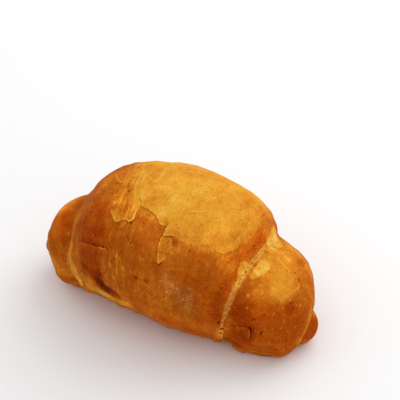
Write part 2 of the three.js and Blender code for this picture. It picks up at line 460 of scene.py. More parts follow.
# %% [markdown]
# ## Finer faces where they are needed
# Only the creases and the marks need faces under half a millimetre. Those faces are selected by their
# distance and subdivided: once in the creases and near a mark, and once more right beside a mark. The whole
# crust stays under 200,000 triangles that way.


# %% Subdivide near the marks
CREASE = 0.15  # mm that a vertex in a crease lies below its surroundings
NEAR = 1.05  # mm from a mark, within which faces are cut once
RIGHT_BESIDE = 0.38  # mm from a mark, within which they are cut again
LINE_LESS = 0.5  # mm less than that beside a pale line, which hardly stands out


def subdivide_where(chosen):
    """Cuts in four each face that has a chosen vertex."""
    mesh = crust.data
    pick(crust)
    bpy.context.tool_settings.mesh_select_mode = (True, False, False)
    mesh.vertices.foreach_set("select", chosen)
    mesh.edges.foreach_set("select", np.zeros(len(mesh.edges), bool))
    mesh.polygons.foreach_set("select", np.zeros(len(mesh.polygons), bool))
    bpy.ops.object.mode_set(mode="EDIT")
    bpy.ops.mesh.select_mode(type="VERT")
    bpy.ops.mesh.select_mode(use_expand=True, type="FACE")
    bpy.ops.mesh.subdivide(number_cuts=1)
    bpy.ops.object.mode_set(mode="OBJECT")
    return Skin(crust.data)


def near_marks(width):
    """The vertices that are that close to a crack, a spot's edge or, less closely, a pale line."""
    far = [skin.around(line[0]) for line in crack_lines.values()]
    far += [skin.around([place]) - radius for place, radius, _, _ in spot_places]
    far += [skin.around(line[0]) + LINE_LESS for line in pale_places]
    return np.min(far, axis=0) < width


skin = Skin(crust.data)
hollow = skin.hollow()
print("deepest crease", round(float(hollow.max()), 2), "mm")
skin = subdivide_where((hollow > CREASE) & (skin.place[:, 2] > 1) | near_marks(NEAR))
skin = subdivide_where(near_marks(RIGHT_BESIDE))
mesh = crust.data
x, y, z = skin.place.T
print("now the crust has", len(mesh.polygons), "faces")

# %% [markdown]
# ## Where the crust is pale and where it is dark
# A crust's colour is mostly one thing: how far it has browned. So one mask, browning, runs from 0, pale
# dough, to 1, dark brown, and every feature only adds to it or takes from it. The relief is kept the same
# way, as one height in millimetres that every feature changes. The mesh is moved by it at the end.

# %% Start the masks
EVEN_BROWN = 0.65  # how far the crust has browned where nothing changes it
broad = skin.cloud(30, 1)
middling = skin.cloud(10, 2)
small = skin.cloud(4, 3)
fine = skin.cloud(1.6, 4)
browning = EVEN_BROWN + 0.05 * broad + 0.04 * middling
relief = 0.2 * broad + 0.1 * middling + 0.05 * small
print("browning from", round(float(browning.min()), 2), "to", round(float(browning.max()), 2))

# %% [markdown]
# ## Patches of colour
# The oven's heat is uneven, and plates of skin screen what is under them. A few patches are painted light:
# crown_glow is a painted highlight on the crown, tongue_shadow a painted shadow beside the tongue plate,
# right_rim a painted highlight on the right end's rim, and the stripe patches low on the left add painted
# shade to browner skin. Each patch is a line of pixels with soft edges. Its edge is made wavy by adding
# some of the random clouds to the distance.

# %% Patches
# the patch's pixels, mm from them where it is full, mm where it ends, how much darker it is
PATCHES = {
    # crown_glow is a painted highlight: the lamp's sheen on the crown
    "crown_glow": ([(150, 205), (172, 200), (190, 188), (205, 183)], 3, 10, -0.08),
    "crown_tan": ([(150, 198), (158, 200)], 3, 7, 0.1),
    "under_crown": ([(172, 252), (190, 258), (208, 262)], 4, 10, -0.05),
    "streaked_shoulder": ([(134, 176), (128, 195), (127, 212)], 4, 9, -0.06),
    "crown_top_left": ([(137, 183), (147, 180), (152, 171)], 2.5, 7, 0.09),
    "shoulder_pale": ([(137, 194), (137, 203)], 1.2, 5, -0.1),
    "crown_right": ([(256, 208), (252, 225), (240, 240), (228, 246)], 4, 13, 0.1),
    "left_brown": ([(95, 215), (90, 240), (88, 262)], 5, 10, 0.14),
    "left_middle": ([(125, 240), (145, 255), (140, 285)], 8, 16, 0.04),
    "left_layer": ([(60, 220), (57, 245)], 4, 9, 0.05),
    "left_top": ([(75, 205), (66, 222), (66, 235)], 3, 7, 0.08),
    # the stripe patches are browner skin and painted shade on the fold's down-facing wall low on the left
    "stripe": ([(87, 269), (93, 275), (100, 282)], 1.4, 4.2, 0.16),
    "stripe_low": ([(99, 281), (104, 286), (110, 291), (116, 294.5)], 1.8, 4, 0.24),
    "past_stripe": ([(113, 262), (120, 275)], 3, 8, -0.03),
    "left_fold_line": ([(127, 243), (128, 262)], 2, 6, 0.05),
    "left_hem": ([(84, 277), (88, 282), (94, 288), (104, 294.5)], 1.6, 3.4, -0.17),
    "left_hem_end": ([(104, 294.5), (113, 300), (121, 303), (127, 304.5)], 1.8, 3.6, -0.2),
    "low_middle": ([(195, 270), (215, 290), (218, 315)], 6, 14, 0.08),
    "foot": ([(163, 319), (190, 330), (214, 336)], 1, 4, 0.08),
    "before_seam": ([(234, 276), (228, 284), (220, 298), (215, 314)], 0.5, 6, 0.1),
    "before_seam_top": ([(260, 234), (255, 240), (250, 247)], 1, 6, 0.06),
    "seam_hem": ([(240, 277), (234.5, 286), (229.5, 297)], 1.0, 3.4, -0.13),
    "blister": ([(231, 323), (235, 326)], 1.5, 3.5, -0.12),
    "seam_foot_pale": ([(220, 330), (218.5, 337)], 1.0, 2.6, -0.14),
    "left_seam": ([(71, 245), (70, 252), (70, 260), (74, 268), (79.5, 279)], 2, 4.2, -0.18),
    "left_seam_low": ([(70, 255), (70.5, 263), (75, 271)], 0.8, 2.4, -0.1),
    "left_corner": ([(62, 276), (72, 281), (83, 286)], 1, 3, 0.08),
    "seam_spot": ([(244, 265), (241.5, 270)], 1.3, 2.4, -0.22),
    "seam_lens": ([(264.5, 265), (259, 270.5)], 1.9, 2.9, -0.3),
    "seam_lens_end": ([(257, 273), (253.5, 275.5)], 1.0, 2.2, -0.22),
    "seam_top": ([(274.5, 231), (271.5, 238), (269, 244)], 1.8, 3.6, -0.32),
    "seam_top_low": ([(275.5, 237), (276.5, 243)], 1.2, 3, -0.2),
    "seam_bridge": ([(248, 268), (243, 278), (238, 285)], 1.3, 3.4, -0.07),
    "seam_top_left": ([(270, 228), (266, 235)], 1, 3.6, -0.1),
    "right_top": ([(273, 263), (284, 267), (282, 285)], 3.5, 11, -0.19),
    "right_middle": ([(264, 296), (270, 290), (276, 298)], 2, 7, -0.07),
    "right_edge": ([(290, 247), (305, 260), (311, 275)], 1, 4, -0.08),
    "right_dark": ([(238, 300), (244, 318), (240, 335)], 3, 8, 0.14),
    "right_low": ([(262, 325), (285, 325)], 8, 16, 0.12),
    "right_foot": ([(230, 337), (246, 347), (270, 351), (290, 348)], 2, 5, 0.1),
    "right_spot": ([(290, 308)], 1.5, 4, 0.06),
    # right_rim is a painted highlight along the right end's rim
    "right_rim": ([(312, 300), (305, 330), (292, 348)], 0.8, 3, -0.04),
    "nub": ([(311, 328)], 5, 8, 0.16),
    "top_rim": ([(128, 171), (146, 167)], 2, 6, 0.06),
    "top_middle": ([(165, 169), (176, 171)], 2, 6, 0.06),
    "crown_corner": ([(147, 203), (153, 209)], 1.5, 4, 0.08),
    "left_fine": ([(85, 245), (105, 252)], 6, 12, 0.05),
    "low_left": ([(148, 288), (162, 292)], 5, 11, -0.05),
    "left_foot": ([(53, 260), (59, 271)], 2, 6, -0.1),
    "left_foot_low": ([(80, 284), (92, 289)], 1.5, 4, -0.05),
    "scoop_tan": ([(226, 243), (234, 243), (228, 247)], 1.5, 4.5, 0.05),
    "tongue_plate": ([(163, 240), (160, 258)], 2, 4, -0.06),
    # tongue_shadow is a painted shadow beside the tongue plate
    "tongue_shadow": ([(174.5, 239), (175, 245)], 0.4, 1.5, 0.12),
    "shoulder_top": ([(112, 178), (124, 172)], 3, 8, -0.1),
    # stripe_start is also browner skin and painted shade on the fold's wall
    "stripe_start": ([(100, 276), (101, 282), (103, 288)], 1.5, 4.5, 0.16),
    "before_foot": ([(207, 285), (218, 303), (223, 314)], 3, 9, 0.05),
    "crown_rim": ([(270, 214), (274, 228)], 2, 6, -0.06),
    "left_layer_rim": ([(66, 213), (78, 204), (90, 199)], 2, 6, 0.05),
    "right_foot_notch": ([(229, 340), (234, 343)], 1.5, 4, 0.07),
    "wrap_rim": ([(94, 201), (86, 213), (79, 226)], 1.5, 5, 0.05),
    "wrap_rim_low": ([(82, 265), (84, 273)], 1.5, 4, 0.06),
    "right_corner": ([(283, 348), (289, 344)], 2, 5, -0.05),
    "before_seam_pale": ([(225, 256), (229, 268)], 2, 6, -0.04),
    "under_plate": ([(168, 226), (174, 236)], 2, 5, 0.04),
}
PATCHES_BEHIND = {
    "back_flank": ([(120, 260), (160, 275), (200, 290)], 8, 16, 0.08),
    "back_middle": ([(250, 215), (255, 245), (240, 275)], 6, 14, 0.06),
    "back_under_crown": ([(160, 270), (185, 268)], 3, 9, -0.06),
    "back_right_hem": ([(96, 262), (104, 280), (113, 294)], 1.5, 4.5, -0.14),
    "back_left_hem": ([(268, 262), (256, 276), (243, 294)], 1.5, 4.5, -0.14),
    "back_end_pale": ([(296, 262), (302, 280)], 3, 10, -0.12),
    "back_far_end_pale": ([(75, 205), (66, 224)], 3, 9, -0.12),
    "back_tip": ([(311, 310)], 4, 8, 0.1),
    "back_left_end": ([(265, 320), (250, 300)], 4, 12, 0.06),
    "back_right_end": ([(60, 230), (75, 250)], 4, 10, 0.05),
}
# The pale crown is one plate of skin, and part of its paleness is a painted sheen, the lamp's shine on the
# top. Its edge is a loop, first in the picture and then behind, with the crown on its right.
CROWN_EDGE = [(266, 222), (258, 234), (250, 242), (243, 247), (231, 253), (217, 252.6), (205, 247),
              (190, 240), (177, 236), (166, 228), (157, 219), (148.7, 209.7), (141, 203), (136, 190),
              (134, 176), (138, 166)]
CROWN_EDGE_BEHIND = [(218, 218), (208, 222), (203, 232), (193, 236), (186, 244), (172, 245), (160, 254),
                     (146, 257), (133, 250), (121, 247), (109, 240), (100, 232), (92, 222), (88, 212)]
CROWN_DARKER = -0.3
CROWN_REACH = 60  # mm. It is a whole number, so distances are whole too and the edge is torn in steps.
CROWN_BLUR = 4  # mm on each side of its edge
UNDERSIDE = (45, 55)  # mm from the edge: what is farther off is under the roll and no crown
crown_edge = [seen_at(p) for p in CROWN_EDGE] + [seen_at(p, True) for p in CROWN_EDGE_BEHIND]
crown_side = skin.beside(crown_edge + crown_edge[:1], CROWN_REACH)[0]
crown_side = crown_side + 0.6 * middling + 0.8 * small
crown = ramp(crown_side, -CROWN_BLUR, CROWN_BLUR) * (1 - ramp(crown_side, *UNDERSIDE))
browning = browning + CROWN_DARKER * crown
patch_masks = {}
for name, (pixels, full, end, darker) in {**PATCHES, **PATCHES_BEHIND}.items():
    line = [seen_at(p, name in PATCHES_BEHIND) for p in pixels]
    wander = (0.12 * end + 0.6) * (middling + small + 0.5 * fine)  # wide patches have wavier edges
    patch_masks[name] = 1 - ramp(skin.around(line) + wander, full, end)
    browning = browning + darker * patch_masks[name]
print(len(patch_masks), "patches")

# %% Add the fine lines
LINE_RAISED = 0.06  # mm
for line, width, paler in pale_places:
    far, share = skin.beside(line)
    whole = ramp(share, -0.1, 0.2) * (1 - ramp(share, 0.8, 1.1))  # it fades at both ends
    thread = whole * (1 - ramp(abs(far) + 0.2 * fine, 0.4 * width, 1.2 * width))
    browning = browning - paler * thread
    relief = relief + LINE_RAISED * thread
print(len(pale_places), "fine lines added")

# %% [markdown]
# ## Painted shade and painted highlights
# Two places can be equally brown and still not equally bright. One more mask, shade, paints light into the
# colour by a share. More than 0 is painted shade, as where the wrap's left end turns away from the lamp, in
# folds, and on the dark stripe low on the left. Less than 0 is a painted highlight, as the sheen on the
# crown and on the left layer's top. A little of it is tone that differs at random.

# %% Painted shade and highlights
# the patch's pixels, mm from them where it is full, mm where it ends, share of painted shade (less than 0:
# painted highlight)
PAINTED_SHADE_AND_HIGHLIGHT = {
    "crown_top": ([(152, 168), (172, 170), (200, 175)], 3, 9, 0.05),
    "crown_glow": ([(168, 196), (185, 205), (205, 222)], 8, 18, -0.04),
    "above_scoop": ([(214, 240), (220, 234)], 2, 7, -0.1),
    "past_scoop": ([(228, 257), (240, 254)], 3, 8, -0.16),
    "left_turn": ([(82, 230), (82, 240), (87, 250), (88, 265)], 4, 11, 0.11),
    "left_rim": ([(53, 235), (53, 250)], 1.5, 6, 0.2),
    "stripe_core": ([(98, 277), (104, 283), (110, 289)], 1.2, 4.2, 0.26),
    "hem": ([(84, 280), (92, 288), (104, 295), (116, 301)], 1.6, 3.6, 0.22),
    "left_column": ([(127, 243), (128, 260)], 2, 6, 0.1),
    "by_the_crack": ([(104, 250), (104, 262)], 2, 7, 0.1),
    "low_left": ([(142, 276), (160, 286), (168, 296)], 5, 12, 0.1),
    "past_left_seam": ([(65, 268), (76, 271), (84, 276)], 1.5, 5, 0.14),
    "floury": ([(183, 298), (186, 310)], 3, 8, 0.18),
    "before_seam_low": ([(219, 298), (219, 314)], 1.5, 5, 0.05),
    "right_bulge": ([(276, 266), (280, 284)], 3, 9, -0.08),
    "plate_low": ([(234, 333), (252, 334)], 1.5, 5, 0.15),
    "left_layer_top": ([(65, 209), (58, 225)], 3, 9, -0.4),
    "left_shoulder": ([(98, 203), (108, 203)], 2.5, 7, -0.2),
    "streaked": ([(120, 205), (134, 205)], 2, 6, -0.15),
    "top_left": ([(104, 182), (118, 172)], 3, 8, -0.22),
    "by_the_tongue": ([(140, 222), (150, 226), (152, 236)], 3, 8, -0.17),
    "under_crown": ([(185, 250), (205, 256)], 2, 7, -0.12),
    "before_seam": ([(246, 253), (256, 244), (265, 236)], 2, 6, -0.32),
    "right_heart": ([(228, 264), (231, 282)], 3, 8, -0.18),
    "right_front": ([(252, 275), (262, 292), (266, 305)], 3, 9, -0.12),
    "right_shoulder": ([(290, 256), (300, 267)], 4, 9, -0.12),
    "past_seam_end": ([(278, 245), (290, 252), (298, 259)], 2, 5, 0.14),
    "left_layer_mid": ([(65, 247), (66, 256)], 1.5, 5, 0.15),
    "left_seam_rim": ([(75.5, 228), (75, 244)], 1, 3.5, 0.14),
    "left_streaked": ([(108, 254), (118, 280)], 4, 11, 0.13),
    "blister": ([(224, 318), (234, 318)], 2, 5, 0.12),
    "right_lower": ([(256, 300), (260, 318)], 2, 7, -0.1),
    "left_streaks": ([(119, 184), (126, 200), (122, 214)], 2, 6, -0.1),
    "left_wrap_top": ([(87, 212), (91, 222)], 2, 6, -0.12),
    "low_floury": ([(184, 306), (188, 311)], 1, 4, 0.06),
    "low_left_edge": ([(124, 288), (150, 312)], 3, 8, 0.07),
    "foot_notch": ([(229, 340), (238, 346)], 1.5, 4.5, 0.26),
    "low_front": ([(160, 316), (190, 326), (210, 331)], 3, 8, -0.1),
    "low_middle": ([(192, 290), (212, 300)], 3, 8, 0.05),
    "stripe_first": ([(101, 277), (103, 284), (104, 289)], 1.5, 4.5, 0.2),
    "above_seam_spot": ([(241, 259), (239, 266)], 1.5, 5, 0.14),
    "upper_crack": ([(86, 242), (98, 244), (107, 248)], 1.5, 5, -0.12),
    "left_low_line": ([(120, 272), (128, 288), (135, 303)], 2, 6, -0.07),
    "left_layer_low": ([(67, 230), (73, 245), (71, 258)], 2, 7, 0.13),
    "left_layer_far": ([(56, 226), (59, 218), (67, 212)], 1.5, 6, 0.06),
    "wrap_rim": ([(94, 201), (86, 213), (79, 226)], 1.5, 5, 0.12),
    "wrap_rim_low": ([(82, 264), (84, 272)], 1.5, 4.5, 0.14),
    "crown_middle": ([(199, 190), (208, 196)], 3, 9, 0.05),
    "scoop_end": ([(226, 247), (236, 244)], 2, 5, 0.08),
    "before_seam_end": ([(264, 229), (269, 227)], 1.5, 4, 0.12),
    "nub_top": ([(308, 312)], 2, 5, 0.1),
}
shade = 0.04 * middling + 0.03 * small
for pixels, full, end, painted_shade_share in PAINTED_SHADE_AND_HIGHLIGHT.values():
    far = skin.around([seen_at(p) for p in pixels]) + 0.15 * end * (middling + small)
    shade = shade + painted_shade_share * (1 - ramp(far, full, end))
print(len(PAINTED_SHADE_AND_HIGHLIGHT), "dim or bright patches")

# %% [markdown]
# ## Seams
# Where one wrap of dough meets the next, the skin is torn a little as the roll swells. The band in the
# crease is pale and crumbly, and it gets a little painted shade, the shade that falls in the crease. In
# front it is drawn along the pixels of the picture. Behind, it follows the crease that the solid has there.

# %% Seams
RIGHT_SEAM = [(276, 232), (271, 239), (264, 247.5), (253, 261), (244.5, 273), (235.5, 288),
              (229.5, 301), (225, 313), (221.5, 325), (220, 336)]
LEFT_SEAM = [(85, 203), (79, 211), (75.5, 219), (74, 230), (71, 243), (68.5, 255), (68.5, 263),
             (72.5, 271), (77, 278), (82, 284)]
RIGHT_SEAM_BEHIND = [(100, 191), (91, 200), (85.5, 212), (82, 226), (81.5, 240), (84.5, 256), (89, 270),
                     (96, 284), (104, 294)]
LEFT_SEAM_BEHIND = [(283, 250), (280, 254), (276, 264), (270, 275), (258, 288), (248, 300), (240, 310),
                    (237, 315)]
# how each seam's band of crumb changes: share along the seam, strength there, half width there in mm
RIGHT_BAND = [(0, 0.3, 1.2), (0.1, 0.6, 1.1), (0.3, 0.9, 1.3), (0.5, 0.9, 1.5), (0.7, 0.9, 1.7),
              (0.83, 0.7, 0.6), (0.95, 0.8, 1.0), (1, 0.8, 1.3)]
LEFT_BAND = [(0, 0, 1), (0.5, 0.1, 1), (0.7, 0.6, 1.1), (0.85, 0.9, 1.2), (1, 0.6, 1)]
RIGHT_BAND_BEHIND = [(0, 0.3, 1), (0.3, 0.6, 1), (0.6, 0.9, 1.4), (0.9, 0.8, 1.2), (1, 0.3, 0.8)]
LEFT_BAND_BEHIND = [(0, 0, 0.8), (0.3, 0.5, 1), (0.6, 0.8, 1.2), (0.9, 0.9, 1.4), (1, 0.5, 1)]
CRUMB_PALER = 0.2
CRUMB_PAINTED_SHADE = 0.05
CRUMB_RAISED = 0.15  # mm
CRUMB_ROUGH = 0.4  # mm, up and down
ragged = 0.5 * fine + 0.3 * small


def seam(pixels, behind, band):
    """A seam's line, the distance from it, and its band of crumb."""
    line = [seen_at(p, behind) for p in pixels]
    far, share = skin.beside(line)
    shares, strengths, widths = zip(*band)
    strength = np.interp(share, shares, strengths)
    width = np.interp(share, shares, widths)
    soft_edge = ramp((abs(far) + ragged) / width, 0.5, 1.4)
    return line, far, strength * (1 - soft_edge)


right_line, right_seam, right_band = seam(RIGHT_SEAM, False, RIGHT_BAND)
left_line, _, left_band = seam(LEFT_SEAM, False, LEFT_BAND)
right_band_behind = seam(RIGHT_SEAM_BEHIND, True, RIGHT_BAND_BEHIND)[2]
left_band_behind = seam(LEFT_SEAM_BEHIND, True, LEFT_BAND_BEHIND)[2]
behind = 1 - ramp(skin.place @ np.array(to_eye), 2, 8)  # fades out where the picture begins
crumb = np.maximum(right_band_behind, left_band_behind) * behind
crumb = np.maximum(np.maximum(right_band, left_band), crumb)
browning = browning - CRUMB_PALER * crumb
# painted shade of the crease over the crumb's band
shade = shade + CRUMB_PAINTED_SHADE * crumb
relief = relief + crumb * (CRUMB_ROUGH * skin.cloud(1.2, 5) + CRUMB_RAISED)
print("crumb covers", round(100 * float((crumb > 0.5).mean()), 1), "% of the vertices")

# %% Keep it from burning
BROWNEST = 0.86  # where patches overlap, their sum would look burnt
STRIPE_BROWNER_AND_SHADED = 0.08  # only the dark stripe low on the left, the fold's down-facing wall, goes past it: browner skin and painted shade
browning = np.minimum(browning, BROWNEST + STRIPE_BROWNER_AND_SHADED * patch_masks["stripe_low"])
print("the crust has browned to", round(float(browning.max()), 2))

# %% [markdown]
# ## The wrap and the ends
# The marks of rolling run round the roll on the outer wrap alone. A plane through each seam tells the wrap
# from the ends.


# %% Which vertices are on the wrap
def past(line):
    """How far each vertex lies to the right of a line's plane, in mm along the roll."""
    points = np.array(line)
    columns = np.stack([np.ones(len(points)), points[:, 1], points[:, 2]], 1)
    weights = np.linalg.lstsq(columns, points[:, 0], rcond=None)[0]
    return x - (weights[0] + weights[1] * y + weights[2] * z)


on_wrap = ramp(past(left_line), -1, 3) * (1 - ramp(past(right_line), -3, 1))  # fades over 4 mm
print("the wrap has", round(100 * float(on_wrap.mean())), "% of the vertices")

# %% [markdown]
# ## Cracks and plates
# Past a crack the skin is higher, and thins out away from the edge. The lifted lip is paler, because it
# dries out. Just below the lip the lower skin is darker: browner, and with painted shade of the lifted
# edge. Two numbers are kept for the finish: how far each vertex is from the nearest crack, with its side,
# and how plainly that crack shows there. A line finer than the mesh can be drawn from them.

# %% Lift the plates
GROOVE_DEPTH = 0.12  # mm
GROOVE_HALF_WIDTH = 0.4  # mm
LIFT_PALER = 0.35  # for each mm that the skin is lifted
UNDER_LIP_DARKER = 0.2  # likewise: browner skin and painted shade under the lifted lip
UNDER_LIP = 3  # mm from the crack
crack_side = np.full(skin.count, REACH)
crack_mark = np.zeros(skin.count)
for name, (line, lift, reach, darkness) in crack_lines.items():
    across, share = skin.beside(line)
    across = across + ragged
    whole = ramp(share, 0, 0.1) * (1 - ramp(share, 0.9, 1))  # it closes at both ends
    step = ramp(across, -0.3, 0.3)
    plate = step * (1 - ramp(across, 0, reach)) * whole
    under = (1 - step) * (1 - ramp(-across, 0, UNDER_LIP)) * whole
    groove = np.exp(-((across / GROOVE_HALF_WIDTH) ** 2)) * whole
    relief = relief + lift * plate - GROOVE_DEPTH * groove
    browning = browning - LIFT_PALER * lift * plate + UNDER_LIP_DARKER * lift * under
    closer = abs(across) < abs(crack_side)
    crack_side[closer] = across[closer]
    near = 1 - ramp(abs(across), 0.8, 1.6)
    crack_mark = np.maximum(crack_mark, darkness * whole * near)
print("cracks cover", round(100 * float((crack_mark > 0.1).mean()), 1), "% of the vertices")

# %% Add the spots
for spot, radius, height, darker in spot_places:
    dome = 1 - ramp(skin.around([spot]) + 0.25 * radius * fine, 0.3 * radius, 1.1 * radius)
    relief = relief + height * dome
    browning = browning + darker * dome
    if darker > 0:
        crumb = crumb * (1 - dome)  # a dark pit shows through the crumb
print("relief from", round(float(relief.min()), 2), "to", round(float(relief.max()), 2), "mm")

# %% [markdown]
# ## Streaks and flour
# Rolling stretches the skin, which leaves pale streaks that run round the roll. Some flour from the board
# still sticks low at the front, and the right end has small blisters. The masks only say where: the finish
# draws what is there.

# %% Streaks and flour
# each stroke's pixels, mm from them where it is full, mm where it ends, strength
STREAKS = [
    ([(140, 172), (132, 190), (122, 214)], 5, 9, 1.0),
    ([(121, 222), (115, 250), (112, 288)], 4, 9, 0.6),
    ([(100, 200), (90, 225), (86, 250)], 3, 9, 0.25),
]
STREAKS_BEHIND = [([(215, 190), (222, 215), (228, 245)], 4, 10, 0.8)]
FLOUR = [([(165, 284), (179, 293), (190, 304)], 1.5, 6.5, 1.0)]
BLISTERS = [([(250, 330), (285, 330), (300, 300)], 8, 20, 1.0)]


def painted(strokes, behind=False):
    """One mask of several strokes."""
    mask = np.zeros(skin.count)
    for pixels, full, end, strength in strokes:
        far = skin.around([seen_at(p, behind) for p in pixels]) + 0.2 * end * middling
        mask = np.maximum(mask, strength * (1 - ramp(far, full, end)))
    return mask


streaks = np.maximum(painted(STREAKS), painted(STREAKS_BEHIND, behind=True))
flour = painted(FLOUR)
blisters = painted(BLISTERS)
print("streaks cover", round(100 * float((streaks > 0.5).mean())), "% of the vertices")

# %% Lift the crust
raise_crust(relief)

# %% Keep the masks for the finish
MASKS = {
    "browning": browning,
    "shade": shade,
    "crumb": crumb,
    "crack_side": crack_side,
    "crack_mark": crack_mark,
    "streaks": streaks,
    "flour": flour,
    "blisters": blisters,
    "on_wrap": on_wrap,
    "seam_side": right_seam,
}
for name, mask in MASKS.items():
    layer = mesh.attributes.new(name, "FLOAT", "POINT")
    layer.data.foreach_set("value", mask.astype(np.float32))
print(len(MASKS), "masks on the mesh")

# %% [markdown]
# ## The finish
# A shader is a web of small nodes. To keep it readable, sums are written as Python: a small class wraps a
# node's output, and + or * on it adds the Math node that does the sum.

# %% The crust's material
finish = bpy.data.materials.new("baked_crust")
finish.use_nodes = True
tree = finish.node_tree
shader = tree.nodes["Principled BSDF"]


# %% A way to write shader sums
class Wire:
    """One output of a node. Sums written with wires add Math nodes."""

    def __init__(self, socket):
        self.socket = socket

    @staticmethod
    def node(kind, settings=None, inputs=None, output=0):
        """Adds a node: its settings first, then what its sockets hold or are linked to."""
        new = tree.nodes.new(kind)
        for name, value in (settings or {}).items():
            if name == "stops":
                stops = new.color_ramp.elements
                while len(stops) < len(value):
                    stops.new(1.0)
                for stop, (position, colour) in zip(stops, value):
                    stop.position = position
                    stop.color = colour
            else:
                setattr(new, name, value)
        for name, value in (inputs or {}).items():
            if isinstance(value, Wire):
                tree.links.new(value.socket, new.inputs[name])
            else:
                new.inputs[name].default_value = value
        return Wire(new.outputs[output])

    @staticmethod
    def math(operation, *values):
        """Adds a Math node, whose sockets are only numbered."""
        return Wire.node("ShaderNodeMath", {"operation": operation}, dict(enumerate(values)))

    def __add__(self, other):
        return Wire.math("ADD", self, other)

    def __sub__(self, other):
        return Wire.math("SUBTRACT", self, other)

    def __rsub__(self, other):
        return Wire.math("SUBTRACT", other, self)

    def __mul__(self, other):
        return Wire.math("MULTIPLY", self, other)

    def __abs__(self):
        return Wire.math("ABSOLUTE", self)

    __radd__ = __add__
    __rmul__ = __mul__

    def rise(self, low, high):
        """Goes smoothly from 0 at low to 1 at high."""
        settings = {"interpolation_type": "SMOOTHSTEP"}
        inputs = {"Value": self, "From Min": low, "From Max": high}
        return Wire.node("ShaderNodeMapRange", settings, inputs)

    def feed(self, name):
        """Links it to one of the shader's own sockets."""
        tree.links.new(self.socket, shader.inputs[name])


# %% What the finish reads
coordinates = Wire.node("ShaderNodeTexCoord", output="Object")


def mask_of(name):
    """A mask that was kept on the mesh."""
    return Wire.node("ShaderNodeAttribute", {"attribute_name": name}, output="Fac")


def stretched(x, y, z):
    """Object coordinates in which a pattern is drawn out that many times along each axis."""
    return Wire.node("ShaderNodeMapping", {}, {"Vector": coordinates, "Scale": (1 / x, 1 / y, 1 / z)})


def lumps(size, detail=3.0, roughness=0.5, where=coordinates):
    """A noise in lumps of that many millimetres, from about -0.5 to 0.5."""
    inputs = {"Vector": where, "Scale": 1 / (size * MM), "Detail": detail, "Roughness": roughness}
    return Wire.node("ShaderNodeTexNoise", {}, inputs, "Fac") - 0.5


def specks(size, share, radius, where=coordinates):
    """Dots in some of the cells that wide, in mm. The radius is a share of the cell."""
    inputs = {"Vector": where, "Scale": 1 / (size * MM)}
    cells = Wire.node("ShaderNodeTexVoronoi", {}, inputs, "Distance")
    cell_colour = Wire(cells.socket.node.outputs["Color"])
    chance = Wire.node("ShaderNodeSeparateColor", {}, {"Color": cell_colour})
    return (1 - cells.rise(radius * 0.5, radius)) * chance.rise(1 - share, 1 - share * 0.5)


# %% [markdown]
# ## Colours of the crust
# The colours follow one path, from cream through gold to dark brown. Skin that browns loses its blue first,
# then its green, so it grows redder as it gets darker. Where a place lies on the path is the browning mask,
# and fine patterns shift it a little further: more than 0 is browner, less than 0 is paler.


# %% The path of colours
def linear(red, green, blue):
    """A paint program's colour, from 0 to 255, as the light that a shader works with."""
    parts = [c / 255 for c in (red, green, blue)]
    return [c / 12.92 if c <= 0.04045 else ((c + 0.055) / 1.055) ** 2.4 for c in parts] + [1.0]


BROWNING_COLOURS = [
    (0.0, linear(234, 192, 108)),
    (0.15, linear(230, 178, 80)),
    (0.28, linear(225, 161, 47)),
    (0.4, linear(219, 145, 43)),
    (0.52, linear(206, 122, 31)),
    (0.65, linear(180, 92, 18)),
    (0.78, linear(164, 70, 9)),
    (0.88, linear(148, 52, 4)),
    (1.0, linear(88, 28, 4)),
]
print(len(BROWNING_COLOURS), "colours from cream to dark brown")

# %% Blotches
grain = lumps(0.9, 2)
mottling = lumps(6, 5, 0.6)
on_wrap = mask_of("on_wrap")
brushed = lumps(4, 4, 0.6, where=stretched(1, 5, 5)) * on_wrap  # drawn out round the roll
blotches = mottling * 0.33 + brushed * 0.22 + lumps(2.2, 3) * 0.2 + grain * 0.28
blotches = blotches * (1.6 - mask_of("browning") * 1.15)  # pale skin is less even than dark
points = specks(1.5, 0.5, 0.3) * -0.1 + specks(1.9, 0.4, 0.25) * 0.12
print(len(tree.nodes), "nodes with the blotches")

# %% Wrinkles and streaks
# a wrinkle is a pale arc: the line along which a noise passes its middle
arcs = (1 - abs(lumps(7, 2, 0.4)).rise(0.0, 0.025)) * lumps(9, 2).rise(0.0, 0.15)
streaked = lumps(0.55, 2, where=stretched(1, 9, 9)) + lumps(2.2, 2, where=stretched(1, 5, 5)) * 0.8
pale_streaks = streaked.rise(0.02, 0.2) * mask_of("streaks")
scratches = lumps(0.6, 2, where=stretched(1, 6, 6)) * on_wrap * 0.2
print(len(tree.nodes), "nodes with the wrinkles")

# %% Lines of the cracks
# the line is up to 0.3 mm to each side of the crack, and its pale lip is half a millimetre past it
jag = lumps(1.0, 3) * 0.7
across = mask_of("crack_side") + jag
mark = mask_of("crack_mark")
broken = lumps(5, 2).rise(-0.25, 0.1)
crack_line = (1 - abs(across).rise(0.05, 0.3)) * mark * broken
lip = (1 - abs(across - 0.5).rise(0.12, 0.4)) * mark.rise(0.0, 0.3)
print(len(tree.nodes), "nodes with the cracks")

# %% Crumb of the seams
# the skin is torn along the seam's middle, and the pits are there
CRUMB_COLOUR = linear(230, 172, 88)
crumb_here = mask_of("crumb")
torn = 1 - abs(mask_of("seam_side") + lumps(2.5, 2) * 1.5).rise(0.2, 0.7)
crumb_pits = lumps(1.1, 2).rise(0.0, 0.12) * torn * crumb_here.rise(0.2, 0.6)
crumb_grain = lumps(0.9, 3) * crumb_here
crumb_cover = crumb_here * (0.22 + lumps(0.8, 3).rise(0.0, 0.12) * 0.7) * (1 - crumb_pits)
print(len(tree.nodes), "nodes with the crumb")

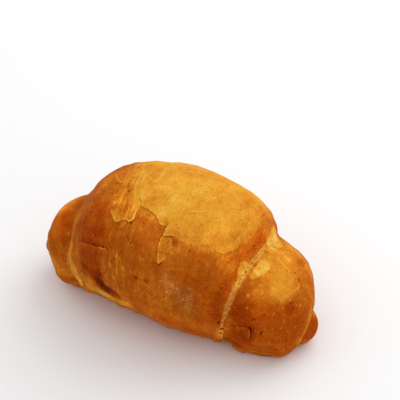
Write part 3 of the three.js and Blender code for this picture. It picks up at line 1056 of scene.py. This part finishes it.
# %% Dots and flour
FLOUR_COLOUR = linear(240, 194, 142)
dark_dots = specks(9, 0.35, 0.06)
blistered = specks(2.6, 0.4, 0.12, stretched(1, 1, 3)) * mask_of("blisters")
pale_dots = specks(3.5, 0.5, 0.1) * 0.3 + blistered * 0.6
flour_grains = lumps(0.9, 3, 0.7).rise(0.04, 0.14) * lumps(5, 2).rise(-0.05, 0.15)
flour_cover = (flour_grains * 0.6 + 0.01) * mask_of("flour")
print(len(tree.nodes), "nodes with the flour")


# %% The crust's colour
def over(cover, below, above):
    """One colour over another. A Mix node has its colours at sockets 6 and 7, and the result at 2."""
    return Wire.node("ShaderNodeMix", {"data_type": "RGBA"}, {0: cover, 6: below, 7: above}, 2)


position = mask_of("browning") + blotches + points + scratches - arcs * 0.12 - pale_streaks * 0.16
position = position + crack_line - lip * 0.12
position = position + crumb_pits * 0.25 + crumb_grain * 1.2 + dark_dots * 0.4 - pale_dots * 0.35
crust_colour = Wire.node("ShaderNodeValToRGB", {"stops": BROWNING_COLOURS}, {"Fac": position})
crumbly = over(crumb_cover, crust_colour, CRUMB_COLOUR)
# the shade mask scales the colour: painted shade where it is more than 0, painted highlight where it is
# less
brightness = {"Vector": crumbly, "Scale": 1 - mask_of("shade")}
with_painted_light = Wire.node("ShaderNodeVectorMath", {"operation": "SCALE"}, brightness)
over(flour_cover, with_painted_light, FLOUR_COLOUR).feed("Base Color")
print(len(tree.nodes), "nodes give the colour")

# %% [markdown]
# ## Gloss and grain
# Browned skin is smooth and takes a soft shine. Torn crumb is dull. A fine bump gives the skin its grain,
# which is too small for the mesh. A dry crust mirrors far less than wet or greasy skin does, and the little
# that it mirrors looks golden, so the shader's index of refraction is low and its shine is tinted.

# %% Gloss and grain
roughness = 0.55 + crumb_here * 0.3 + grain * 0.15 + flour_cover * 0.3
roughness.feed("Roughness")
height = grain * 0.5 + lumps(0.35, 2) * 0.3 + mottling * 0.3
height = height + arcs * 0.15 + scratches * 0.5 + lip * 0.3 - crack_line * 1.5
height = height - crumb_pits + crumb_grain * 1.2 + pale_streaks * 0.3
bumps = {"Strength": 0.7, "Distance": 0.2 * MM, "Height": height}
Wire.node("ShaderNodeBump", {}, bumps).feed("Normal")
shader.inputs["IOR"].default_value = 1.05
shader.inputs["Specular IOR Level"].default_value = 0.5
shader.inputs["Specular Tint"].default_value = linear(255, 190, 80)
mesh.materials.append(finish)
print(len(tree.nodes), "nodes")

# %% [markdown]
# ## Handing the roll over
# The crust stands for the solid, which is then hidden, and rides on the row's only body.

# %% Stand the crust in for the solid
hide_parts("roll")
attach(crust, "root")
print(crust.name, "stands for the solid")

# %% [markdown]
# ## Floor and light
# The picture has a plain white ground and soft light from above, behind and to the right. One large lamp
# there lights the crown most, and the sky fills the shade. The crown's broad sheen is mostly painted into
# the crust's colour.

# %% Floor
bpy.ops.mesh.primitive_plane_add(size=4)
floor = bpy.context.object
floor.name = "floor"
paper = bpy.data.materials.new("pale_floor")
paper.use_nodes = True
paper_shader = paper.node_tree.nodes["Principled BSDF"]
paper_shader.inputs["Base Color"].default_value = (0.9, 0.9, 0.9, 1)
paper_shader.inputs["Roughness"].default_value = 0.9
floor.data.materials.append(paper)
print("the floor is", floor.dimensions.x, "m wide")

# %% Lamp
LAMP_SIZE = 1.0  # m
LAMP_POWER = 3.8  # W
lamp_at = to_right * 0.5 + to_top * 0.75 - to_eye * 0.05  # metres from the roll
bpy.ops.object.light_add(type="AREA", location=lamp_at)
lamp = bpy.context.object
lamp.name = "key_lamp"
lamp.rotation_euler = lamp_at.to_track_quat("Z", "Y").to_euler()
lamp.data.size = LAMP_SIZE
lamp.data.energy = LAMP_POWER
print("the lamp is", round(lamp_at.length, 2), "m from the roll")

# %% Sky
SKY_STRENGTH = 0.87
sky = bpy.data.worlds.new("soft_sky")
sky.use_nodes = True
background = sky.node_tree.nodes["Background"]
background.inputs["Color"].default_value = (1, 1, 1, 1)
background.inputs["Strength"].default_value = SKY_STRENGTH
bpy.context.scene.world = sky
bpy.context.scene.view_settings.view_transform = "Standard"
print("sky strength", SKY_STRENGTH)

# %% Update the scene
bpy.context.view_layer.update()
